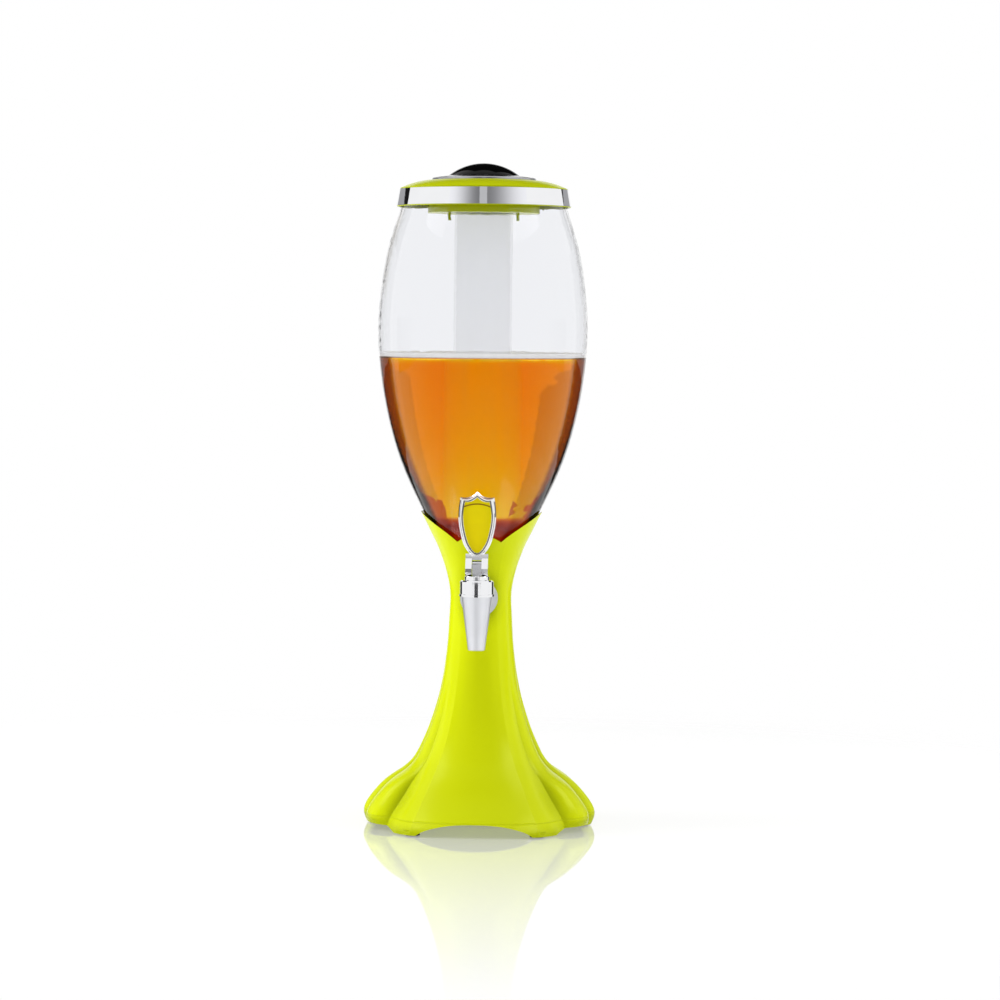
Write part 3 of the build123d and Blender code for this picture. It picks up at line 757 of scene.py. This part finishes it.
def satin_finish():
    """Satin nickel: blasted, with a fine soft grain."""
    finish = Finish("satin_metal")
    blast = finish.grain(3000.0, 2.0)
    cloud = finish.grain(70.0, 3.0)
    return finish.surface(
        Base_Color=finish.blend(cloud, satin_bright, satin_dull),
        Metallic=1.0,
        Roughness=0.34 + blast * 0.08,
        Normal=finish.relief(blast, 0.00003))


chrome = chrome_finish("chrome", 0.035)
for casting in ("tap_body", "tap_bonnet", "plunger_stem", "lever"):
    dress(casting, chrome)
satin = satin_finish()
dress("spout", satin)
dress("tap_flange", satin)


# ---------------------------------------------------------------- spring and pin
# Drawn steel: the coil that shuts the valve, and the cross pin that the lever turns
# on. The coil is squeezed between the plunger and the bonnet's roof.
steel = turned_finish("spring_steel", (0.60, 0.61, 0.63), (0.46, 0.47, 0.49), 0.25, 3000.0)
dress("return_spring", steel)
dress("pivot_pin", steel)


def wind_spring():
    """The spring's own coil: a welded copy of the CAD node's mesh, carried with the tower in its
    place."""
    coil = bpy.data.objects.new("coil_spring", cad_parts["return_spring"].data.copy())
    bpy.context.scene.collection.objects.link(coil)
    weld(coil)
    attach(coil, "tower")
    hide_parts("return_spring")
    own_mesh(coil)


wind_spring()


# ---------------------------------------------------------------- shield and badge
# The lever's head is a shield with a raised bead round it, whose inner slope is painted
# dark grey as painted reflection and shade; inside it lies a plate of yellow enamel, left bare.
arch_top = 0.2515
arch_fall = 22.0
arch_outer, arch_inner = 0.0007, 0.0003
enamel_yellow, enamel_deep = (0.98, 0.81, 0.001), (0.92, 0.75, 0.001)
enamel_brown = (0.33, 0.17, 0.004)


def enamel_finish():
    """Yellow enamel, faintly clouded, with one raised brown line near its top: an arch that falls
    off as the square of the distance from the middle."""
    finish = Finish("badge_yellow")
    cloud = finish.grain(180.0, 2.0)
    arch = finish.z - (arch_top - finish.x * finish.x * arch_fall)
    line = abs(arch).step(arch_outer, arch_inner)
    colour = finish.blend(cloud, enamel_yellow, enamel_deep)
    return finish.surface(
        Base_Color=finish.blend(line, colour, enamel_brown),
        Roughness=0.22 + cloud * 0.06,
        Specular_IOR_Level=0.1,
        Normal=finish.relief(line, 0.0002))


dress("badge_plate", enamel_finish())

# The bead on the shield's frame, measured back from the frame's front and in from its outline.
frame_front = 0.0634
frame_proud = 0.0011
frame_chamfer = 0.0009
frame_bevel = 0.0005
frame_slope = 0.0011
frame_inner = 0.0034
frame_sunk = 0.0003
slope_sunk = 0.0002
shield_steps = 24

# The shield's outline, across and up: half of its crest from the peak to a corner, and its flank
# from that corner round the base to the other. Drawn in by a distance, each point moves by its
# own share of it: the crest downwards, the flank inwards and, at its ends and base, up or down.
shield_top = np.array([(0.0, 260.6), (6.6, 256.5), (12.6, 256.6)]) / 1000.0
shield_side = np.array([(12.6, 256.6), (14.2, 241.0), (12.4, 228.5), (8.6, 218.0), (0.0, 211.0),
                        (-8.6, 218.0), (-12.4, 228.5), (-14.2, 241.0), (-12.6, 256.6)]) / 1000.0
top_drop = np.array([1.15, 1.0, 1.0])
side_narrowing = np.array([1.0, 1.0, 1.04, 0.95, 0.0, -0.95, -1.04, -1.0, -1.0])
side_rise = np.array([-1.0, 0.0, 0.0, 0.35, 1.0, 0.35, 0.0, 0.0, -1.0])


def shield_line(inset):
    """The shield's front view drawn in by a distance: half of its crest, the whole flank from
    corner to corner by way of the base, and the other half of the crest as a mirror image. Crest
    and flank are natural cubic splines that meet in the corners."""
    top = shield_top.copy()
    top[:, 1] -= inset * top_drop
    top[2, 0] -= inset
    side = shield_side.copy()
    side[:, 0] -= inset * side_narrowing
    side[:, 1] += inset * side_rise
    over = np.linspace(top[0, 0], top[2, 0], shield_steps // 3, endpoint=False)
    crest = np.stack([over, cubic_through(top[:, 0], top[:, 1], over)], axis=1)
    run = np.concatenate([[0.0], np.cumsum(np.hypot(*np.diff(side, axis=0).T))])
    down = np.linspace(0.0, run[-1], 2 * shield_steps, endpoint=False)
    flank = np.stack([cubic_through(run, side[:, axis], down) for axis in (0, 1)], axis=1)
    back = crest[:0:-1] * [-1.0, 1.0]
    return np.concatenate([crest, flank, side[-1:], back])


slope_shade_dark, slope_shade_pale = (0.070, 0.078, 0.075), (0.11, 0.12, 0.115)


def slope_shade_finish():
    """Painted dark reflection and shade: dark grey on the slope round the plate."""
    finish = Finish("dark_lacquer")
    cloud = finish.grain(400.0, 3.0)
    return finish.surface(
        Base_Color=finish.blend(cloud, slope_shade_dark, slope_shade_pale),
        Roughness=0.3 + cloud * 0.1,
        Specular_IOR_Level=0.3,
        Normal=finish.relief(cloud, 0.00003))


def shield_bead():
    """Bead round the shield's frame: a flat crown between a short outer bevel and an inner slope
    that falls to the plate, carried round the shield's outline. The slope takes the painted dark
    reflection and shade."""
    slope_row = 3
    section = np.array([
        (frame_chamfer, frame_sunk),
        (frame_chamfer, 0.0),
        (frame_chamfer + frame_bevel, -frame_proud),
        (frame_inner - frame_slope, -frame_proud),
        (frame_inner, slope_sunk),
        (frame_inner, frame_sunk)])
    rings = []
    for inset, depth in section:
        line = shield_line(inset)
        forward = np.full(len(line), -frame_front + depth)
        rings.append(np.stack([line[:, 0], forward, line[:, 1]], axis=1))
    bead = grid_mesh("shield_rim", np.stack(rings), closed_u=True, closed_v=True)
    slope = np.repeat(np.arange(len(section)) == slope_row, len(line)).astype(int)
    bead.data.materials.append(chrome.owner)
    # The second slot is painted dark reflection and shade, for the slope.
    bead.data.materials.append(slope_shade_finish().owner)
    bead.data.polygons.foreach_set("material_index", slope)
    weld(bead, math.radians(25.0))
    return bead


rim = shield_bead()
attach(rim, "handle")


# ---------------------------------------------------------------- lid
# A lime cover with a polished steel band sprung round its skirt, and the lime collar
# under it that locks into the tank's mouth with two pegs.
lid_lime = lime_finish("lime_lid")
dress("lid_cover", lid_lime)
dress("lid_collar", lid_lime)
dress("lid_band", chrome_finish("steel_band", 0.03))


# ---------------------------------------------------------------- ice tube
# Frosted polycarbonate tube with a closed foot, hung from the collar into the beer,
# which hides its frost where it wets it.
frost_pale, frost_grey = (0.92, 0.94, 0.98), (0.87, 0.89, 0.94)
frost_cover = 0.11
waterline = 0.0006


def frosted_finish():
    """Frosted plastic with faint upright draw lines, cloudy where it is dry and clear where beer
    wets it."""
    finish = Finish("frosted_tube")
    cloud = finish.grain(26.0, 3.0)
    lines = finish.grain(30.0, 3.0, stretch=(8.0, 8.0, 0.4))
    wet = finish.z.step(beer_level + waterline, beer_level - waterline)
    return finish.surface(
        Base_Color=finish.blend(cloud, frost_pale, frost_grey),
        Roughness=0.5 + lines * 0.1,
        IOR=1.4,
        Alpha=frost_cover + lines * 0.05 - wet * frost_cover,
        Normal=finish.relief(lines, 0.00004))


dress("ice_tube", frosted_finish())


# ---------------------------------------------------------------- cap
# Dark metal disc that closes the ice tube, under a domed knob in polished black.
# Disc and knob come off together when ice is filled in.
knob_black, knob_dusty = (0.0012, 0.0012, 0.0012), (0.003, 0.003, 0.003)


def gloss_black_finish():
    """Polished black plastic with hair-fine dust in its gloss."""
    finish = Finish("black_gloss")
    dust = finish.grain(500.0, 4.0)
    return finish.surface(
        Base_Color=finish.blend(dust, knob_black, knob_dusty),
        Roughness=0.06 + dust.step(0.55, 0.8) * 0.06,
        Specular_IOR_Level=0.06,
        Normal=finish.relief(dust, 0.00001))


dress("cap_disc", turned_finish("dark_metal", (0.50, 0.50, 0.52), (0.42, 0.42, 0.44), 0.14, 900.0))
dress("cap_knob", gloss_black_finish())
